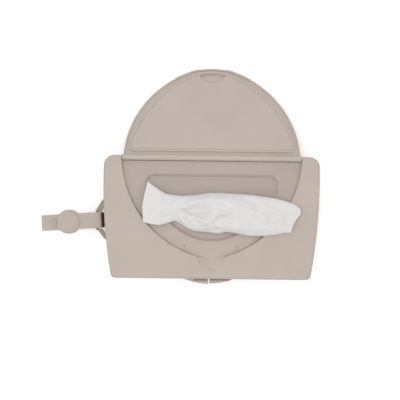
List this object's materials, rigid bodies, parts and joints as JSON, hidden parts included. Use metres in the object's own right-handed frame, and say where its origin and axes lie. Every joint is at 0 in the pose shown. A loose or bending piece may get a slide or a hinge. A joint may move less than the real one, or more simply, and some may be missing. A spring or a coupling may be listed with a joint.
{
  "type": "wipes dispenser case",
  "caption": "Flat refillable wipes case with a D-shaped flip lid over the dispensing slot, a refill hinge, pull tabs and a snap strap on a side loop.",
  "frame": {"origin": "centre of the flat back face, which the case lies on", "axes": "+X to the right along the front panel, +Y up the panel to the lid's hinge, +Z out of the front panel"},
  "size_m": [0.2691, 0.2086, 0.0553],
  "materials": {
    "shell": "moulded plastic, fine satin texture, warm taupe",
    "liner": "moulded plastic, smooth satin, warm taupe",
    "silicone": "soft silicone, matte, warm taupe",
    "steel": "bright drawn steel pin",
    "loop": "moulded plastic, satin, grey olive",
    "strap": "soft silicone, matte, warm taupe",
    "snap": "moulded plastic snap, satin",
    "wipes": "moist non-woven cloth, white"
  },
  "bodies": {
    "case_back": {"rear_shell": "shell", "case_seal": "silicone", "case_hinge_pins": "steel", "strap_loop": "loop", "wipes_stack": "wipes"},
    "case_front": {"front_shell": "shell", "dispensing_ring": "silicone", "wipe_sheet": "wipes"},
    "lid": {"lid_cover": "shell", "lid_liner": "liner", "lid_seal": "silicone"},
    "strap": {"strap_band": "strap", "snap_cap": "strap", "snap_socket": "snap", "snap_studs": "snap"}
  },
  "joints": [
    {"name": "case_hinge", "type": "hinge", "parent": "case_back", "child": "case_front", "pos_m": [0, 0.0606, 0.0239], "axis": [-1, 0, 0], "range_deg": [0, 95]},
    {"name": "lid_hinge", "type": "hinge", "parent": "case_front", "child": "lid", "pos_m": [0, 0.0564, 0.0331], "axis": [1, 0, 0], "range_deg": [0, 197], "deforming": ["wipe_sheet"]},
    {"name": "strap_swing", "type": "hinge", "parent": "case_back", "child": "strap", "pos_m": [-0.1107, -0.0044, 0.009], "axis": [0, 1, 0], "range_deg": [-75, 80]}
  ]
}
